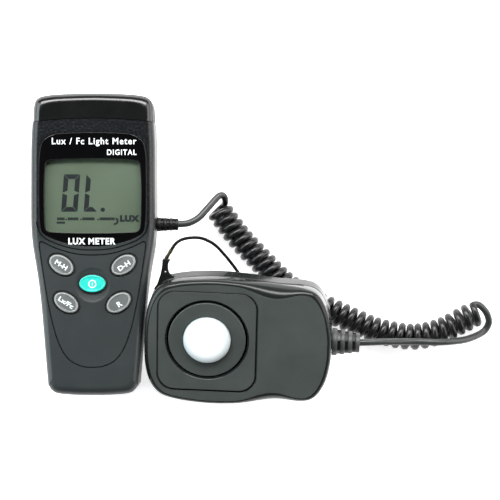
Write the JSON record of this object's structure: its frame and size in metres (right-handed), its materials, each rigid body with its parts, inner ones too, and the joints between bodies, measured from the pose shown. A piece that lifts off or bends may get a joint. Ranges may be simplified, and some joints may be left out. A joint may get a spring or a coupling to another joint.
{
  "type": "light meter",
  "caption": "Handheld light meter with a display, oval keys and a round light sensor in a separate head on a curly cord.",
  "frame": {"origin": "middle of the box round the meter and its sensor head, on the surface they lie on", "axes": "+X across the meter towards the sensor head, +Y along the meter towards its end cap, +Z out of the display"},
  "size_m": [0.2327, 0.1551, 0.0452],
  "materials": {
    "shell": "matte",
    "gloss_black": "gloss",
    "window": "clear",
    "lcd": "satin",
    "white_plastic": "satin",
    "button_grey": "satin",
    "button_teal": "satin",
    "mat_rubber": "matte",
    "board": "satin",
    "black_plastic": "matte",
    "trimmer_blue": "satin",
    "battery_jacket": "satin",
    "steel": "satin",
    "diffuser": "matte",
    "filter": "clear",
    "gold": "gloss",
    "crimp_brass": "satin",
    "cord_rubber": "satin",
    "tether_jacket": "satin"
  },
  "bodies": {
    "meter": {"battery": "battery_jacket", "battery_foam": "mat_rubber", "battery_snap": "black_plastic", "board_screw_1": "steel", "board_screw_2": "steel", "case_screw_1": "steel", "case_screw_2": "steel", "case_screw_3": "steel", "case_screw_4": "steel", "cord_coil": "cord_rubber", "cord_meter_lead": "cord_rubber", "display_bezel": "gloss_black", "display_lens": "window", "end_cap": "gloss_black", "key_mat": "mat_rubber", "lcd_connector_strip": "mat_rubber", "lcd_holder": "white_plastic", "lcd_panel": "lcd", "main_board": "board", "measuring_chip": "black_plastic", "meter_front_shell": "shell", "meter_rear_shell": "shell", "meter_strain_relief": "cord_rubber", "trimmer": "trimmer_blue"},
    "sensor_head": {"cord_head_lead": "cord_rubber", "diffuser_dome": "diffuser", "filter_disc": "filter", "head_boot": "cord_rubber", "head_front_shell": "shell", "head_rear_shell": "shell", "head_screw_1": "steel", "head_screw_2": "steel", "head_screw_3": "steel", "head_screw_4": "steel", "photodiode": "gold", "retaining_ring": "black_plastic", "sensor_board": "board", "sensor_panel": "shell", "sensor_ring": "shell", "tether_anchor": "black_plastic", "tether_crimp": "crimp_brass", "tether_lug": "black_plastic", "tether_wire": "tether_jacket"},
    "battery_door": {"battery_door": "shell"},
    "button_max_hold": {"button_max_hold": "button_grey"},
    "button_data_hold": {"button_data_hold": "button_grey"},
    "button_power": {"button_power": "button_teal"},
    "button_unit": {"button_unit": "button_grey"},
    "button_range": {"button_range": "button_grey"}
  },
  "joints": [
    {"name": "button_max_hold_press", "type": "slide", "parent": "meter", "child": "button_max_hold", "axis": [0, 0, -1], "range_m": [0, 0.0009], "stiffness_N_per_m": 400},
    {"name": "button_data_hold_press", "type": "slide", "parent": "meter", "child": "button_data_hold", "axis": [0, 0, -1], "range_m": [0, 0.0009], "stiffness_N_per_m": 400},
    {"name": "button_power_press", "type": "slide", "parent": "meter", "child": "button_power", "axis": [0, 0, -1], "range_m": [0, 0.0009], "stiffness_N_per_m": 400},
    {"name": "button_unit_press", "type": "slide", "parent": "meter", "child": "button_unit", "axis": [0, 0, -1], "range_m": [0, 0.0009], "stiffness_N_per_m": 400},
    {"name": "button_range_press", "type": "slide", "parent": "meter", "child": "button_range", "axis": [0, 0, -1], "range_m": [0, 0.0009], "stiffness_N_per_m": 400},
    {"name": "battery_door_slide", "type": "slide", "parent": "meter", "child": "battery_door", "axis": [0, -1, 0], "range_m": [0, 0.068]},
    {"name": "sensor_head_lift", "type": "slide", "parent": "meter", "child": "sensor_head", "axis": [0, 0, 1], "range_m": [0, 0.06], "deforming": ["cord_head_lead"]}
  ]
}
